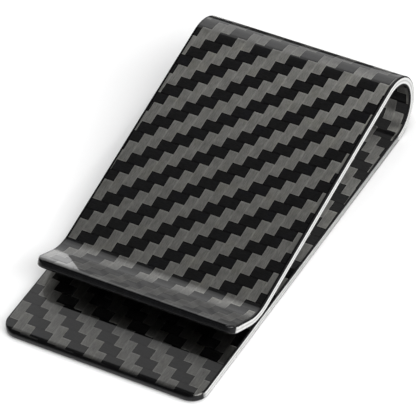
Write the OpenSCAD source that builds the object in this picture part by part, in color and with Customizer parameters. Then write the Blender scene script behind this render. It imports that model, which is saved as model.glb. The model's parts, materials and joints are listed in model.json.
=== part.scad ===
// Money clip: one laminated strip, folded into a spring.
// The flat base and the sloping arm are joined by a round bend, and the arm ends in a lip.
// X runs across the width, +Y points to the bend and +Z up. The base lies on z = 0.

/* [Strip] */
// Overall length, from the base's front edge to the back of the bend (mm)
overall_length = 77.2; // [70:0.2:90]
// Width of the strip (mm)
strip_width = 40; // [30:1:50]
// Radius of the base's two front corners (mm)
base_corner_r = 3; // [1:0.5:6]

/* [Plies] */
// Thickness of each woven face ply (mm)
face_ply = 0.25; // [0.2:0.05:0.35]
// Thickness of each core ply (mm)
core_ply = 0.4; // [0.3:0.05:0.5]
// Thickness of the centre ply (mm)
centre_ply = 0.3; // [0.2:0.05:0.4]

/* [Spring arm] */
// Radius of the bend, to the middle of the strip (mm)
bend_r = 6.1; // [5:0.1:7.5]
// Slope of the arm down to the base (degrees)
arm_angle = 12.5; // [11:0.5:16]
// Clearance between the arm and the base where they come closest (mm)
rest_gap = 0.1; // [0.05:0.05:0.5]
// Radius of the trough between arm and lip, to the middle of the strip (mm)
trough_r = 8; // [5:0.5:12]

/* [Lip] */
// Rise of the lip, away from the base (degrees)
lip_angle = 28; // [15:1:40]
// Straight length of the lip (mm)
lip_length = 5.9; // [4:0.1:9]
// Radius of the lip's two corners (mm)
lip_corner_r = 2; // [0.5:0.25:3]

/* [Hidden] */
$fn = 96;
// Turn between neighbouring points of a round stretch, at most (degrees)
arc_step = 2.5;

thickness = 2 * face_ply + 2 * core_ply + centre_ply;
front_y = -overall_length / 2;
bend_outer_r = bend_r + thickness / 2;
bend_c = [overall_length / 2 - bend_outer_r, bend_outer_r];

// Depth of each ply as [inner side, outer side], measured outwards from the middle of the strip.
outer_face = [centre_ply / 2 + core_ply, thickness / 2];
outer_core = [centre_ply / 2, centre_ply / 2 + core_ply];
centre = [-centre_ply / 2, centre_ply / 2];
inner_core = [-centre_ply / 2 - core_ply, -centre_ply / 2];
inner_face = [-thickness / 2, -centre_ply / 2 - core_ply];

// Points in the (y, z) side view. The arm's slope brings the trough down to rest_gap above the base.
function on_circle(c, r, a) = c + r * [cos(a), sin(a)];
arm_top = on_circle(bend_c, bend_r, 90 + arm_angle);
trough_floor_z = 1.5 * thickness + rest_gap;
arm_drop = arm_top.y - trough_floor_z - trough_r * (1 - cos(arm_angle));
arm_foot = on_circle(arm_top, arm_drop / sin(arm_angle), 180 + arm_angle);
trough_c = on_circle(arm_foot, trough_r, 90 + arm_angle);

// Points of a round stretch, both ends included.
function arc(c, r, from, to) =
    let (steps = ceil(abs(to - from) / arc_step))
    [for (i = [0:steps]) on_circle(c, r, from + (to - from) * i / steps)];

// Line at one depth of the strip through the base: the flat plate and the lower quarter of the bend.
function base_line(depth) = [
    [front_y, thickness / 2 - depth],
    each arc(bend_c, bend_r + depth, -90, 0),
];

// The same through the arm: the rest of the bend, the slope, the trough and the lip.
function arm_line(depth) = [
    each arc(bend_c, bend_r + depth, 0, 90 + arm_angle),
    each arc(trough_c, trough_r - depth, -90 + arm_angle, -90 - lip_angle),
    lip_end(depth),
];
function lip_end(depth) =
    on_circle(on_circle(trough_c, trough_r - depth, -90 - lip_angle), lip_length, 180 - lip_angle);

function backwards(points) = [for (i = [len(points) - 1:-1:0]) points[i]];

// A side view turned upright and drawn out across the whole width.
module across_width(outline) {
    rotate([90, 0, 90]) linear_extrude(height = strip_width, center = true) polygon(outline);
}

// Waste outside the two rounded corners of an edge that faces -Y and ends at a (y, z) point.
module corner_waste(end, tilt, r) {
    depth = 4 * thickness;
    for (side = [0, 1])
        mirror([side, 0, 0]) translate([strip_width / 2, end.x, end.y]) rotate([-tilt, 0, 0])
            translate([-r, r, 0]) difference() {
                translate([0, -r - 1, -depth / 2]) cube([r + 1, r + 1, depth]);
                cylinder(r = r, h = depth + 2, center = true);
            }
}

module base_ply(depth) {
    difference() {
        across_width([each base_line(depth[0]), each backwards(base_line(depth[1]))]);
        corner_waste([front_y, thickness / 2], 0, base_corner_r);
    }
}

module arm_ply(depth) {
    difference() {
        across_width([each arm_line(depth[0]), each backwards(arm_line(depth[1]))]);
        corner_waste(lip_end(0), lip_angle, lip_corner_r);
    }
}

module base_outer_face_ply() { color("#2a2a2b") base_ply(outer_face); }
module base_outer_core_ply() { color("#dcdcd8") base_ply(outer_core); }
module base_centre_ply() { color("#a6a7a5") base_ply(centre); }
module base_inner_core_ply() { color("#dcdcd8") base_ply(inner_core); }
module base_inner_face_ply() { color("#333334") base_ply(inner_face); }
module arm_outer_face_ply() { color("#2a2a2b") arm_ply(outer_face); }
module arm_outer_core_ply() { color("#dcdcd8") arm_ply(outer_core); }
module arm_centre_ply() { color("#a6a7a5") arm_ply(centre); }
module arm_inner_core_ply() { color("#dcdcd8") arm_ply(inner_core); }
module arm_inner_face_ply() { color("#333334") arm_ply(inner_face); }

base_outer_face_ply();
base_outer_core_ply();
base_centre_ply();
base_inner_core_ply();
base_inner_face_ply();
arm_outer_face_ply();
arm_outer_core_ply();
arm_centre_ply();
arm_inner_core_ply();
arm_inner_face_ply();
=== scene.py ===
"""Looks of a money clip: a strip of clear-coated carbon twill, folded into a spring.

Everything is in metres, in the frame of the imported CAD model: X across the strip, +Y towards
the bend, +Z up. A place on the strip is (x, s, depth): x across, s along its middle from the
base's front edge to the lip's tip, and depth outwards from its middle.
"""

import json
import math

import bpy
from mathutils import Matrix, Vector

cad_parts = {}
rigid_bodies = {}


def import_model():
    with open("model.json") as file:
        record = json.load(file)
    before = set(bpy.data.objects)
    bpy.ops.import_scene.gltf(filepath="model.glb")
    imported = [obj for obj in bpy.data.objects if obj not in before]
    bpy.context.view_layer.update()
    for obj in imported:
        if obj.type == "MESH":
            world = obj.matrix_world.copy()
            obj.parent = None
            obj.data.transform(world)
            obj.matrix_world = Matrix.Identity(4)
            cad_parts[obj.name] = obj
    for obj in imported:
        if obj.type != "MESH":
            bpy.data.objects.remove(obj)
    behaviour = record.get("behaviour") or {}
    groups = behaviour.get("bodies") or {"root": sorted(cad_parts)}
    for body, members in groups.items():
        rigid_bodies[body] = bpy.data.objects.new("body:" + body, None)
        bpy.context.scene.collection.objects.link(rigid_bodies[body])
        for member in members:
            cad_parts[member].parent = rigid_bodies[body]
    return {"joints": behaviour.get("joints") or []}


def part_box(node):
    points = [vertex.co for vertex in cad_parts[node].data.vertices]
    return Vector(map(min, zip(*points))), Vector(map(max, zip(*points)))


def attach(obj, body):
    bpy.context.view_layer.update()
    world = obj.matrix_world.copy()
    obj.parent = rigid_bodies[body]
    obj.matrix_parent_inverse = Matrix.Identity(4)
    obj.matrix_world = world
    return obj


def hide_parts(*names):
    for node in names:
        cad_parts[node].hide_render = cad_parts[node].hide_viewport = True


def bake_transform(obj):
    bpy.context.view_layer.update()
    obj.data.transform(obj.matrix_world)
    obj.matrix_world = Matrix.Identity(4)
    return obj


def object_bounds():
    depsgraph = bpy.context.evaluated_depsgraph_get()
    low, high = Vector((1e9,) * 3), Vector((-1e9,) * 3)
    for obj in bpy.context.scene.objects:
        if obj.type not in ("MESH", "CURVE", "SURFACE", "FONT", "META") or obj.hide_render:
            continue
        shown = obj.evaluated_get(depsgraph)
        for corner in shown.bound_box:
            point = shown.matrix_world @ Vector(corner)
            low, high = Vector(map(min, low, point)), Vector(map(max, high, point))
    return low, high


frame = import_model()
cad_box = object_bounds()

MM = 0.001

# ---------------------------------------------------------------- strip, from the CAD frame
SIZE = [high - low for low, high in zip(*cad_box)]
WIDTH = SIZE[0]
FRONT_Y = cad_box[0][1]
HINGE = frame["joints"][0]
HINGE_NAMES = (HINGE["parent"], HINGE["child"])
BEND_OUTER_R = HINGE["pos_m"][2]
BEND_C = (HINGE["pos_m"][1] - BEND_OUTER_R, BEND_OUTER_R)

# Plies from the outside in. The flat base shows the height at which each one starts.
PLIES = ["outer_face", "outer_core", "centre", "inner_core", "inner_face"]
ply_floor = [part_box(f"base_{ply}_ply")[0][2] for ply in PLIES]
FACE_PLY = ply_floor[1] - ply_floor[0]
THICKNESS = ply_floor[-1] + FACE_PLY
BEND_R = BEND_OUTER_R - THICKNESS / 2

# The rest of the side view, as in part.scad.
ARM_ANGLE = math.radians(12.5)
LIP_ANGLE = math.radians(28)
REST_GAP = 0.1 * MM
TROUGH_R = 8 * MM
LIP_LENGTH = 5.9 * MM
BASE_CORNER_R = 3 * MM
LIP_CORNER_R = 2 * MM

ARM_DROP = (BEND_C[1] + BEND_R * math.cos(ARM_ANGLE) - 1.5 * THICKNESS - REST_GAP
            - TROUGH_R * (1 - math.cos(ARM_ANGLE)))

# Stretches of the strip: (length, turn), where a turn to the inside of the bend is positive.
STRETCHES = [
    (BEND_C[0] - FRONT_Y, 0.0),
    (BEND_R * (math.pi + ARM_ANGLE), math.pi + ARM_ANGLE),
    (ARM_DROP / math.sin(ARM_ANGLE), 0.0),
    (TROUGH_R * (ARM_ANGLE + LIP_ANGLE), -ARM_ANGLE - LIP_ANGLE),
    (LIP_LENGTH, 0.0),
]
BEND_S = STRETCHES[0][0]
TIP_S = sum(length for length, _ in STRETCHES)


def place(s):
    """Middle of the strip at s, its heading and its outward normal, as (y, z) pairs."""
    y, z, heading = FRONT_Y, THICKNESS / 2, 0.0
    for length, turn in STRETCHES:
        part = min(max(s, 0.0), length)
        if turn:
            r = length / turn
            swing = part / r
            y += r * (math.sin(heading + swing) - math.sin(heading))
            z -= r * (math.cos(heading + swing) - math.cos(heading))
            heading += swing
        else:
            y += part * math.cos(heading)
            z += part * math.sin(heading)
        s -= part
        if s <= 0:
            break
    return (y, z), (math.cos(heading), math.sin(heading)), (math.sin(heading), -math.cos(heading))


def bend_stations(start, end, step=math.radians(2.5)):
    """Places along the strip between start and end, close together where it is round."""
    marks, s = [], 0.0
    for length, turn in STRETCHES:
        steps = max(1, math.ceil(abs(turn) / step))
        marks += [s + length * i / steps for i in range(steps)]
        s += length
    marks.append(s)
    return [m for m in marks if start < m < end]


# ---------------------------------------------------------------- ply mesh
CORNER_STEPS = 12
END_STEPS = 9           # steps of a corner that belong to its end, and not to its side
ROUND_STEPS = 6
SIDE_R = FACE_PLY
END_R = 0.65 * MM
SAME = 1e-9             # lengths that differ by less are equal, m
NO_AREA = 1e-14         # twice the area of a triangle that counts as a line, m2


def ring_depths(low, high):
    """Depths of the rings of points round a ply's rim. A face ply's rings follow the rounded side."""
    reach = THICKNESS / 2 - SIDE_R
    if min(abs(low), abs(high)) < reach - SAME:
        steps = ROUND_STEPS if abs(low + high) > SAME else 1
        return [low + (high - low) * i / steps for i in range(steps + 1)]
    turns = [math.pi / 2 * i / ROUND_STEPS for i in range(ROUND_STEPS + 1)]
    depths = [reach + SIDE_R * math.sin(turn) for turn in turns]
    return depths if low > 0 else [-depth for depth in depths[::-1]]


def rounding(depth, angle):
    """(inset, lift) of the rim at this depth, where lift is the angle of the rim's normal.
    angle runs round a corner, from 0 at the end to a right angle at the side. The ends are well
    rounded, and the sides only by the face ply."""
    r = SIDE_R + (END_R - SIDE_R) * math.cos(angle) ** 2
    over = min(max(abs(depth) - THICKNESS / 2 + r, 0.0), r)
    return r - math.sqrt(r * r - over * over), math.copysign(math.asin(over / r), depth)


def ply_points(depths, tip, root, corner_r):
    """Points of a ply as (x, y, z, s), and the rim's normal at each.
    There is a ring of points at each depth. Its two sides run from the tip's corner to the root."""
    sign = 1 if root > tip else -1
    straight = sorted(abs(s - tip) for s in bend_stations(*sorted((tip + sign * corner_r, root))))
    straight.append(abs(root - tip))
    # Steps along a side: the angle round the corner, and how far from the tip the side is by then.
    steps = [(math.pi / 2 * i / CORNER_STEPS, corner_r) for i in range(CORNER_STEPS + 1)]
    steps += [(math.pi / 2, distance) for distance in straight]
    points, normals = [], []
    for depth in depths:
        for side in (-1, 1):
            for angle, distance in steps:
                inset, lift = rounding(depth, angle)
                s = tip + sign * (distance - (corner_r - inset) * math.cos(angle))
                across = WIDTH / 2 - corner_r + (corner_r - inset) * math.sin(angle)
                (y, z), t, n = place(s)
                points.append((side * across, y + n[0] * depth, z + n[1] * depth, s))
                forward = -sign * math.cos(angle) * math.cos(lift)
                up = math.sin(lift)
                normals.append(Vector((side * math.sin(angle) * math.cos(lift),
                                       forward * t[0] + up * n[0], forward * t[1] + up * n[1])))
    return points, normals


def ply_faces(rings, count):
    """Faces of a ply as (kind, numbers of its points). Each side of a ring has count points."""
    def at(ring, side, j):
        return (ring * 2 + side) * count + j

    faces = []
    last = rings - 1
    for j in range(count - 1):
        for kind, ring in (("inner", 0), ("outer", last)):
            faces.append((kind, [at(ring, 0, j), at(ring, 1, j), at(ring, 1, j + 1), at(ring, 0, j + 1)]))
        kind = "end" if j < END_STEPS else "side"
        for ring in range(last):
            for side in (0, 1):
                faces.append((kind, [at(ring, side, j), at(ring, side, j + 1),
                                     at(ring + 1, side, j + 1), at(ring + 1, side, j)]))
    for ring in range(last):
        faces.append(("end", [at(ring, 0, 0), at(ring, 1, 0), at(ring + 1, 1, 0), at(ring + 1, 0, 0)]))
    faces.append(("root", [at(ring, 0, count - 1) for ring in range(rings)]
                  + [at(ring, 1, count - 1) for ring in range(last, -1, -1)]))
    return faces


def make_ply(name, low, high, tip, root, corner_r, materials):
    """A closed slab of the strip between two depths, with rounded corners at tip and a plain cut at root.
    The materials are those of its faces, its sides and its end."""
    sign = 1 if root > tip else -1
    depths = ring_depths(low, high)
    points, rim_normals = ply_points(depths, tip, root, corner_r)
    kinds, faces, normals = [], [], []
    for kind, face in ply_faces(len(depths), len(points) // (2 * len(depths))):
        wanted = []
        for v in face:
            _, t, n = place(points[v][3])
            if kind in ("end", "side"):
                wanted.append(rim_normals[v])
            elif kind == "root":
                wanted.append(Vector((0, sign * t[0], sign * t[1])))
            else:
                flip = 1 if kind == "outer" else -1
                wanted.append(Vector((0, flip * n[0], flip * n[1])))
        a, b, c, d = (Vector(points[v][:3]) for v in face[:4])
        area = (b - a).cross(c - a)
        # The cut face of a core ply starts with seven points in line. It has no area by this
        # test either, and keeps its order.
        if area.length < NO_AREA:
            area = (c - a).cross(d - a)
        if area.dot(sum(wanted, Vector())) < 0:
            face, wanted = face[::-1], wanted[::-1]
        kinds.append(kind)
        faces.append(face)
        normals += wanted

    mesh = bpy.data.meshes.new(name)
    mesh.from_pydata([point[:3] for point in points], [], faces)
    uv = mesh.uv_layers.new(name="strip")
    for loop in mesh.loops:
        x, _, _, s = points[loop.vertex_index]
        uv.data[loop.index].uv = (x / MM, s / MM)
    mesh.polygons.foreach_set("use_smooth", [True] * len(faces))
    mesh.update()
    mesh.normals_split_custom_set(normals)
    for material in materials:
        mesh.materials.append(material)
    mesh.polygons.foreach_set("material_index", [{"side": 1, "end": 2}.get(kind, 0) for kind in kinds])
    piece = bpy.data.objects.new(name, mesh)
    bpy.context.collection.objects.link(piece)
    return piece


# ---------------------------------------------------------------- materials
def new_material(name):
    material = bpy.data.materials.new(name)
    material.use_nodes = True
    nodes = material.node_tree.nodes
    nodes.clear()
    output = nodes.new("ShaderNodeOutputMaterial")
    shader = nodes.new("ShaderNodeBsdfPrincipled")
    material.node_tree.links.new(shader.outputs[0], output.inputs[0])
    return material, shader


class Graph:
    """Short calls for the nodes of one material."""

    def __init__(self, material):
        self.tree = material.node_tree

    def node(self, kind, **settings):
        made = self.tree.nodes.new(kind)
        for key, value in settings.items():
            setattr(made, key, value)
        return made

    def feed(self, socket, value):
        if isinstance(value, bpy.types.NodeSocket):
            self.tree.links.new(value, socket)
        else:
            socket.default_value = value

    def math(self, operation, *values):
        made = self.node("ShaderNodeMath", operation=operation)
        for socket, value in zip(made.inputs, values):
            self.feed(socket, value)
        return made.outputs[0]

    def mix(self, factor, a, b):
        made = self.node("ShaderNodeMix", data_type="RGBA")
        self.feed(made.inputs[0], factor)
        self.feed(made.inputs[6], a)
        self.feed(made.inputs[7], b)
        return made.outputs[2]

    def blend(self, factor, a, b):
        made = self.node("ShaderNodeMix", data_type="FLOAT")
        self.feed(made.inputs[0], factor)
        self.feed(made.inputs[2], a)
        self.feed(made.inputs[3], b)
        return made.outputs[0]

    def ramp(self, value, low, high, to_low=0.0, to_high=1.0):
        made = self.node("ShaderNodeMapRange", clamp=True)
        for socket, item in zip(made.inputs, (value, low, high, to_low, to_high)):
            self.feed(socket, item)
        return made.outputs[0]

    def vector(self, x, y, z=0.0):
        made = self.node("ShaderNodeCombineXYZ")
        for socket, value in zip(made.inputs, (x, y, z)):
            self.feed(socket, value)
        return made.outputs[0]

    def noise(self, vector, scale, detail=3.0):
        made = self.node("ShaderNodeTexNoise")
        self.feed(made.inputs["Vector"], vector)
        made.inputs["Scale"].default_value = scale
        made.inputs["Detail"].default_value = detail
        return made.outputs["Fac"]

    def scaled(self, colour, factor):
        made = self.node("ShaderNodeMix", data_type="RGBA", blend_type="MULTIPLY")
        for index, value in ((0, 1.0), (6, colour), (7, factor)):
            self.feed(made.inputs[index], value)
        return made.outputs[2]

    def bump(self, height, depth, normal=None):
        """Normal of a surface with this height, where height 1 stands depth metres proud."""
        made = self.node("ShaderNodeBump")
        made.inputs["Distance"].default_value = depth
        self.feed(made.inputs["Height"], height)
        if normal:
            self.feed(made.inputs["Normal"], normal)
        return made.outputs[0]

    def strip_place(self):
        """x and s of the shaded point, in millimetres."""
        split = self.node("ShaderNodeSeparateXYZ")
        uv = self.node("ShaderNodeUVMap", uv_map="strip")
        self.feed(split.inputs[0], uv.outputs[0])
        return split.outputs[0], split.outputs[1]


# Weave of each side: spacing of the tows across and along the strip in mm, how far they lean from
# square to it, the offset of the pattern in tows, and the width sanded off along each side in mm.
OUTER_WEAVE = {"across": 1.813, "along": 2.21, "lean": 0.0221, "turn": 0.0008,
               "shift": (1.215, -0.626), "rim": 0.6}
INNER_WEAVE = {"across": 1.815, "along": 2.21, "lean": 0.0148, "turn": 0.015,
               "shift": (1.776, -0.181), "rim": 0.42}
# Colours of the tows along and across the strip, of what is sanded and of the ends. The lengthwise tows
# are painted far lighter than the crosswise ones, a painted sheen, as both are the same fibre.
LENGTHWISE_SHEEN = (0.17, 0.168, 0.158, 1)
LENGTHWISE_SHEEN_WARM = (0.173, 0.17, 0.154, 1)
CROSSWISE = (0.025, 0.025, 0.0252, 1)
CROSSWISE_COOL = (0.025, 0.025, 0.029, 1)
SANDED = (0.004, 0.004, 0.004, 1)
# Near-black painted shade for the ends; the sanded grain also uses it as a resin tone.
PAINTED_SHADE_AND_RESIN = (0.006, 0.006, 0.007, 1)
TWILL_REPEAT = 4.0          # a 2 by 2 twill repeats after this many tows
FIBRES_ACROSS = 22.0        # scale of the fibre noise across a tow
FIBRES_ALONG = 2.5          # and along it
TOW_OFFSET = 3.7            # and from one tow to the next
TOW_RIM_HIGHLIGHT_AND_SHADE = 0.05, 0.13        # the painted highlight and painted shade at the rim of a tow fade out between these shares of its width
ROLL_OFF = 1.2              # the strip rolls off this close to an end, mm
END_SHADE_FADE = 0.3, 1.3         # the tows fade into the painted end shade this close to an end, mm
SANDED_FADE = 0.18          # the sanded rim along each side fades in over this width, mm
ROLL_DROP = 0.085 * MM      # depth of the roll-off
COAT_PRINT = 0.0015 * MM    # height of the tows' print in the coat
TOW_RELIEF = 0.02 * MM      # height of the tows under it
FIBRE_RELIEF = 0.15         # height of the fibres, as a share of that
CORNER_SHADE_FADE = 0.25, 0.03    # the cut edge turns to the painted end shade between these distances from the strip's side, mm


def weave_cells(g, x, s, weave):
    """What the weave shows at (x, s): 1 where a crosswise tow is on top and 0 elsewhere, the place
    along and across that tow's float, and a place to draw its fibres by."""
    leaned_x = g.math("MULTIPLY_ADD", s, weave["lean"], x)
    turned_s = g.math("MULTIPLY_ADD", x, weave["turn"], s)
    a = g.math("ADD", g.math("DIVIDE", leaned_x, weave["across"]), weave["shift"][0])
    b = g.math("ADD", g.math("DIVIDE", turned_s, weave["along"]), weave["shift"][1])
    column, row = g.math("FLOOR", a), g.math("FLOOR", b)
    in_column, in_row = g.math("FRACT", a), g.math("FRACT", b)
    # Of every four cells in a row, two show the lengthwise tow and the next two the crosswise one.
    step = g.math("FLOORED_MODULO", g.math("ADD", column, row), TWILL_REPEAT)
    crosswise = g.math("GREATER_THAN", step, 1.5)
    # Along runs from 0 to 2 over the two cells of a float, across from 0 to 1.
    along = g.blend(crosswise, g.math("ADD", step, in_row),
                    g.math("ADD", g.math("SUBTRACT", step, 2.0), in_column))
    across = g.blend(crosswise, in_column, in_row)
    tow = g.blend(crosswise, column, row)
    fibre_place = g.vector(g.math("MULTIPLY", g.blend(crosswise, a, b), FIBRES_ACROSS),
                           g.math("MULTIPLY", g.blend(crosswise, b, a), FIBRES_ALONG),
                           g.math("MULTIPLY", tow, TOW_OFFSET))
    return crosswise, along, across, fibre_place


def twill(name, weave):
    """Clear-coated 2 by 2 twill of carbon tows."""
    material, shader = new_material(name)
    g = Graph(material)
    x, s = g.strip_place()
    crosswise, along, across, fibre_place = weave_cells(g, x, s, weave)
    side_gap = g.math("MINIMUM", across, g.math("SUBTRACT", 1.0, across))
    end_gap = g.math("MINIMUM", along, g.math("SUBTRACT", 2.0, along))
    gap = g.math("MINIMUM", side_gap, end_gap)
    fibres = g.noise(fibre_place, 1.0)
    cloud = g.noise(g.vector(x, s), 0.45)
    tint = g.ramp(g.noise(g.vector(s, x), 0.3, 2.0), 0.52, 0.68)

    # Painted sheen: the lengthwise tows get a far lighter colour than the crosswise ones of the same
    # fibre.
    light = g.mix(tint, LENGTHWISE_SHEEN, LENGTHWISE_SHEEN_WARM)
    dark = g.mix(tint, CROSSWISE, CROSSWISE_COOL)
    # Painted highlight on the rims of the light tows, and painted shade on the dark tows beside them.
    lift = g.blend(crosswise, g.ramp(gap, *TOW_RIM_HIGHLIGHT_AND_SHADE, 1.28, 1.0), g.ramp(gap, *TOW_RIM_HIGHLIGHT_AND_SHADE, 0.5, 1.0))
    lift = g.math("MULTIPLY", lift, g.ramp(fibres, 0.3, 0.7, 0.74, 1.26))
    lift = g.math("MULTIPLY", lift, g.ramp(cloud, 0.3, 0.7, 0.88, 1.12))
    # The tows darken into painted shade at the two ends, and the rim along each side is sanded with the
    # cut edge.
    end = g.math("MINIMUM", s, g.math("SUBTRACT", TIP_S / MM, s))
    colour = g.mix(g.ramp(end, *END_SHADE_FADE), PAINTED_SHADE_AND_RESIN, g.scaled(g.mix(crosswise, light, dark), lift))
    sanded_from = WIDTH / 2 / MM - weave["rim"]
    sanded = g.ramp(g.math("ABSOLUTE", x), sanded_from, sanded_from + SANDED_FADE)
    g.feed(shader.inputs["Base Color"], g.mix(sanded, colour, SANDED))

    # Each float is domed across, and dips at its ends.
    off_axis = g.math("ABSOLUTE", g.math("MULTIPLY_ADD", across, 2.0, -1.0))
    off_middle = g.math("ABSOLUTE", g.math("SUBTRACT", along, 1.0))
    dome = g.math("SUBTRACT", 1.0, g.math("POWER", off_axis, 4.0))
    dip = g.math("SUBTRACT", 1.0, g.math("POWER", off_middle, 8.0))
    crown = g.math("MULTIPLY", dome, dip)
    # The strip rolls off towards its two ends.
    roll_off = g.node("ShaderNodeMapRange", interpolation_type="SMOOTHSTEP")
    for socket, value in zip(roll_off.inputs, (end, 0.0, ROLL_OFF, 0.0, 1.0)):
        g.feed(socket, value)
    rolled = g.bump(roll_off.outputs[0], ROLL_DROP)
    relief = g.math("MULTIPLY_ADD", fibres, FIBRE_RELIEF, crown)
    g.feed(shader.inputs["Normal"], g.bump(relief, TOW_RELIEF, rolled))
    # Fibres shine across their length, so the lengthwise and crosswise tows shine at different angles.
    tangent = g.node("ShaderNodeTangent", direction_type="UV_MAP", uv_map="strip")
    g.feed(shader.inputs["Tangent"], tangent.outputs[0])
    g.feed(shader.inputs["Anisotropic Rotation"], g.math("MULTIPLY", crosswise, 0.25))
    shader.inputs["Anisotropic"].default_value = 0.95
    shader.inputs["Metallic"].default_value = 1.0
    shader.inputs["Roughness"].default_value = 0.4
    # The tows print through the coat faintly.
    g.feed(shader.inputs["Coat Normal"], g.bump(crown, COAT_PRINT, rolled))
    shader.inputs["Coat Weight"].default_value = 1.0
    shader.inputs["Coat Roughness"].default_value = 0.03
    shader.inputs["Coat IOR"].default_value = 1.52
    return material


def sanded_twill(name):
    """Rounded rim of a face ply, where sanding has cut through the coat."""
    material, shader = new_material(name)
    g = Graph(material)
    x, s = g.strip_place()
    grain = g.noise(g.vector(x, s), 9.0)
    g.feed(shader.inputs["Base Color"], g.mix(g.ramp(grain, 0.35, 0.65), SANDED, PAINTED_SHADE_AND_RESIN))
    g.feed(shader.inputs["Normal"], g.bump(grain, 0.004 * MM))
    shader.inputs["Roughness"].default_value = 0.55
    shader.inputs["Specular IOR Level"].default_value = 0.15
    return material


def cut_edge(name, colour, darker):
    """Sawn and sanded laminate: pale, with fine lines. Round the corners it darkens into the painted shade
    of the ends.
    """
    material, shader = new_material(name)
    g = Graph(material)
    x, s = g.strip_place()
    coordinates = g.node("ShaderNodeTexCoord")
    lines = g.noise(coordinates.outputs["Object"], 2600.0)
    patches = g.noise(g.vector(s, x), 0.9)
    mottle = g.math("ADD", g.math("MULTIPLY", lines, 0.5), g.math("MULTIPLY", patches, 0.5))
    pale = g.mix(g.ramp(mottle, 0.35, 0.65), darker, colour)
    half = WIDTH / 2 / MM
    on_side = g.ramp(g.math("ABSOLUTE", x), half - CORNER_SHADE_FADE[0], half - CORNER_SHADE_FADE[1])
    # Painted shade: round the corners the pale edge turns near-black.
    g.feed(shader.inputs["Base Color"], g.mix(on_side, PAINTED_SHADE_AND_RESIN, pale))
    g.feed(shader.inputs["Normal"], g.bump(lines, 0.003 * MM))
    shader.inputs["Roughness"].default_value = 0.4
    return material


def painted_shade_end(name):
    """Rounded end of the strip, painted near-black as painted shade."""
    material, shader = new_material(name)
    g = Graph(material)
    x, s = g.strip_place()
    ripple = g.noise(g.vector(x, s), 1.2)
    g.feed(shader.inputs["Base Color"], g.mix(g.ramp(ripple, 0.3, 0.7), PAINTED_SHADE_AND_RESIN, SANDED))
    g.feed(shader.inputs["Normal"], g.bump(ripple, 0.01 * MM))
    shader.inputs["Roughness"].default_value = 0.25
    shader.inputs["Specular IOR Level"].default_value = 0.2
    return material


def plain(name, colour, roughness):
    material, shader = new_material(name)
    shader.inputs["Base Color"].default_value = colour
    shader.inputs["Roughness"].default_value = roughness
    return material


# ---------------------------------------------------------------- the strip's pieces
outer_twill = twill("twill_outer", OUTER_WEAVE)
inner_twill = twill("twill_inner", INNER_WEAVE)
sanded_side = sanded_twill("twill_sanded")
# Near-black ends: painted shade.
resin_end = painted_shade_end("resin_end")
core_edge = cut_edge("cut_core", (0.63, 0.63, 0.62, 1), (0.5, 0.5, 0.49, 1))
centre_edge = cut_edge("cut_centre", (0.42, 0.42, 0.415, 1), (0.33, 0.33, 0.325, 1))
# Material slot in the record, and the materials of the faces, the sides, the base's end and the
# lip's end. An end is painted near-black as painted shade up to the ply on top, which is the inner
# one on the base and the outer one on the lip.
PLY_LOOKS = {
    "outer_face": ("face_twill", outer_twill, sanded_side, resin_end, outer_twill),
    "outer_core": ("core_laminate", core_edge, core_edge, resin_end, resin_end),
    "centre": ("centre_laminate", centre_edge, centre_edge, resin_end, resin_end),
    "inner_core": ("core_laminate", core_edge, core_edge, resin_end, resin_end),
    "inner_face": ("face_twill", inner_twill, sanded_side, inner_twill, resin_end),
}

for i, ply in enumerate(PLIES):
    floor_z = ply_floor[i]
    top_z = ply_floor[i + 1] if i + 1 < len(PLIES) else THICKNESS
    high, low = THICKNESS / 2 - floor_z, THICKNESS / 2 - top_z
    slot, face, side, base_end, lip_end = PLY_LOOKS[ply]
    base_piece = make_ply(f"base_{ply}", low, high, 0.0, BEND_S, BASE_CORNER_R,
                          (face, side, base_end))
    arm_piece = make_ply(f"arm_{ply}", low, high, TIP_S, BEND_S, LIP_CORNER_R,
                         (face, side, lip_end))
    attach(base_piece, HINGE_NAMES[0])
    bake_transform(arm_piece)
    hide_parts(f"base_{ply}_ply")
    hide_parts(f"arm_{ply}_ply")

# ---------------------------------------------------------------- floor, light and camera
FLOOR_SIZE = 6.0
FLOOR_GAP = 0.02 * MM       # keeps the floor clear of the base
bpy.ops.mesh.primitive_plane_add(size=FLOOR_SIZE, location=(0, 0, cad_box[0][2] - FLOOR_GAP))
floor = bpy.context.object
floor.name = "floor"
floor.data.materials.append(plain("floor_white", (0.9, 0.9, 0.9, 1), 0.9))


def aim(direction, distance, target=(0, 0, 0.006)):
    """World matrix of something that looks at target from (azimuth, elevation) in degrees.
    Azimuth 0 is in front, at -Y, and 90 is on the +X side."""
    azimuth, elevation = (math.radians(v) for v in direction)
    back = Vector((math.sin(azimuth) * math.cos(elevation),
                   -math.cos(azimuth) * math.cos(elevation), math.sin(elevation)))
    facing = back.to_track_quat("Z", "Y").to_matrix().to_4x4()
    return Matrix.Translation(Vector(target) + back * distance) @ facing


def softbox(name, direction, distance, width, height, watts, in_reflections=True):
    data = bpy.data.lights.new(name, "AREA")
    data.shape = "RECTANGLE"
    data.size, data.size_y = width, height
    data.energy = watts
    light = bpy.data.objects.new(name, data)
    light.matrix_world = aim(direction, distance)
    light.visible_glossy = in_reflections
    bpy.context.collection.objects.link(light)


EVEN = (0.0, 1.0), (1.0, 1.0)


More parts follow.
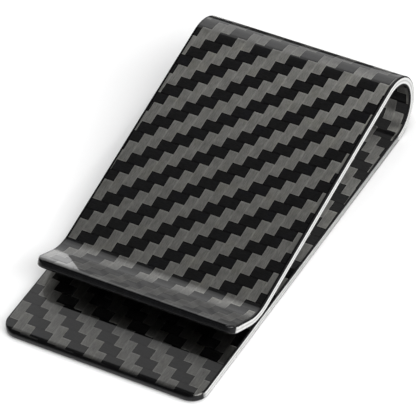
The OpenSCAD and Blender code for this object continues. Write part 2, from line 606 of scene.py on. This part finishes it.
def reflector(name, matrix, width, height, radiance, stops=EVEN):
    """Card that shows in reflections only.
    Stops are (height, share of the radiance), from its foot at 0 to its top at 1."""
    bpy.ops.mesh.primitive_plane_add(size=1.0)
    card = bpy.context.object
    card.name = name
    card.matrix_world = matrix @ Matrix.Diagonal((width, height, 1.0, 1.0))
    card.visible_camera = card.visible_diffuse = card.visible_shadow = False
    material = bpy.data.materials.new(name)
    material.use_nodes = True
    material.node_tree.nodes.clear()
    g = Graph(material)
    split = g.node("ShaderNodeSeparateXYZ")
    g.feed(split.inputs[0], g.node("ShaderNodeTexCoord").outputs["Object"])
    shares = g.node("ShaderNodeValToRGB")
    g.feed(shares.inputs[0], g.math("ADD", split.outputs[1], 0.5))
    ramp = shares.color_ramp
    while len(ramp.elements) < len(stops):
        ramp.elements.new(0.5)
    for element, (height_share, share) in zip(ramp.elements, stops):
        element.position = height_share
        element.color = (share, share, share, 1)
    emission = g.node("ShaderNodeEmission")
    emission.inputs["Strength"].default_value = radiance
    g.feed(emission.inputs["Color"], shares.outputs[0])
    g.feed(g.node("ShaderNodeOutputMaterial").inputs[0], emission.outputs[0])
    card.data.materials.append(material)


MOUTH_MARGIN = 2 * MM       # a card in the mouth stays this far inside the strip's sides
MOUTH_GAP = 0.3 * MM        # and this far from its inner face


def mouth_card(name, start, end, radiance):
    """Reflector inside the mouth of the clip, just under the inner face from start to end, s in mm."""
    ends = []
    for s in (start, end):
        (y, z), _, n = place(s * MM)
        inset = THICKNESS / 2 + MOUTH_GAP
        ends.append(Vector((0, y - n[0] * inset, z - n[1] * inset)))
    run = ends[1] - ends[0]
    slope = Matrix.Rotation(math.atan2(run.z, run.y), 4, "X")
    matrix = Matrix.Translation((ends[0] + ends[1]) / 2) @ slope
    reflector(name, matrix, WIDTH - 2 * MOUTH_MARGIN, run.length, radiance)


softbox("key_right", (62, 42), distance=0.9, width=0.7, height=0.5, watts=5.0)
softbox("top_back", (180, 79), distance=0.9, width=0.36, height=0.36, watts=0.86)
# The two fills light the floor and the cut edges, and don't show in the clear coat.
softbox("fill", (0, 90), distance=1.4, width=2.2, height=2.2, watts=20, in_reflections=False)
softbox("fill_right", (100, 24), distance=0.9, width=0.9, height=0.5, watts=4.0, in_reflections=False)

# What the clear coat mirrors: a large card behind on the left, a card and a dark flag that lie at
# floor level on the left, a small card close by on the right, and two cards in the mouth.
BACKDROP_STOPS = [(0.0, 0.55), (0.3, 0.72), (0.55, 0.72), (0.75, 0.9), (0.86, 0.6), (0.93, 0.5),
                  (0.97, 0.0)]
reflector("backdrop_left", aim((-138, 25), 0.9), width=0.8, height=0.92, radiance=1.45,
          stops=BACKDROP_STOPS)
bounce_left = Matrix.Translation((-0.062, 0.02, 0.0))
reflector("bounce_left", bounce_left, width=0.07, height=0.09, radiance=2.0)
flag_back = Matrix.Translation((-0.105, 0.25, 0.0)) @ Matrix.Rotation(math.radians(25), 4, "Z")
reflector("flag_back", flag_back, width=0.046, height=0.44, radiance=0.0)
bounce_right = aim((142, 43), 0.09, target=(0.017, 0.015, THICKNESS))
reflector("bounce_right", bounce_right, width=0.05, height=0.05, radiance=4.2)
mouth_card("mouth_arm", start=125, end=88, radiance=0.27)
mouth_card("mouth_bend", start=88, end=81, radiance=0.27)

# The camera sees a white surround, and everything else a dim one.
SURROUND_LIGHT = (0.06, 0.06, 0.062, 1)
SURROUND_SEEN = (1, 1, 1, 1)
world = bpy.data.worlds.new("studio")
bpy.context.scene.world = world
world.use_nodes = True
sky = Graph(world)
background = world.node_tree.nodes["Background"]
seen = sky.node("ShaderNodeLightPath").outputs["Is Camera Ray"]
sky.feed(background.inputs["Color"], sky.mix(seen, SURROUND_LIGHT, SURROUND_SEEN))

CAMERA_DIRECTION = (36.17, 44.19)
CAMERA_DISTANCE = 651.2 * MM
CAMERA_TARGET = (1.45 * MM, -2.74 * MM, 6.9 * MM)
CAMERA_ROLL = math.radians(-8.23)
camera = bpy.data.objects.new("camera", bpy.data.cameras.new("camera"))
camera.data.sensor_width = 36.0
camera.data.lens = 324.5
camera.data.clip_start = 0.01
roll = Matrix.Rotation(CAMERA_ROLL, 4, "Z")
camera.matrix_world = aim(CAMERA_DIRECTION, CAMERA_DISTANCE, CAMERA_TARGET) @ roll
bpy.context.collection.objects.link(camera)
bpy.context.scene.camera = camera
bpy.context.scene.view_settings.view_transform = "Standard"
